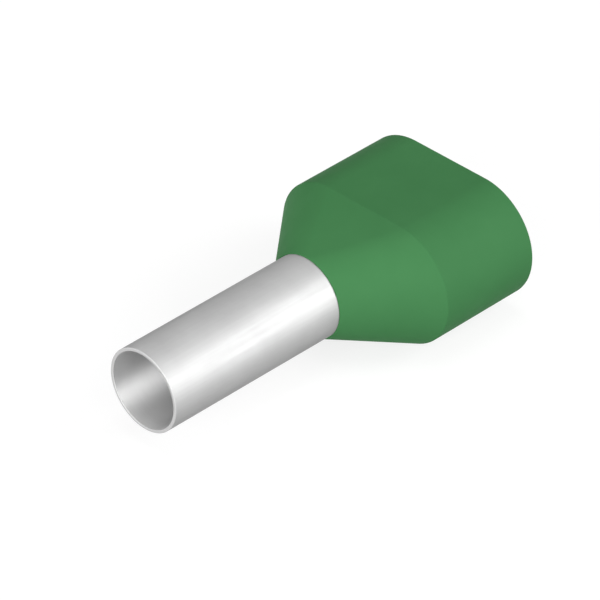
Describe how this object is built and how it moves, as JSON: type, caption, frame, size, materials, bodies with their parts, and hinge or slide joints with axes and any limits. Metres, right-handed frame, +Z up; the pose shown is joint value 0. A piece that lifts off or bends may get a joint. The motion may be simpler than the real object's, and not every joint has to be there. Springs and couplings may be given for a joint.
{
  "type": "twin wire ferrule",
  "caption": "Crimp-on wire end for a pair of conductors: a thin plated tube held in a green moulded collar that widens from round to a flat-sided oval mouth.",
  "frame": {"origin": "on the sleeve's axis, at the collar's front face, where the collar stops against a terminal", "axes": "+X along the sleeve's axis, from its cut tip to the collar's mouth; Y across the wide way of the oval mouth; +Z up, square to the collar's flat sides"},
  "size_m": [0.023, 0.0124, 0.0072],
  "materials": {
    "tinned_copper": "tin-plated copper tube, satin silver, drawn and cut square",
    "green_polypropylene": "moulded polypropylene, plain green, low gloss"
  },
  "bodies": {
    "root": {"sleeve": "tinned_copper", "collar": "green_polypropylene"}
  },
  "joints": []
}
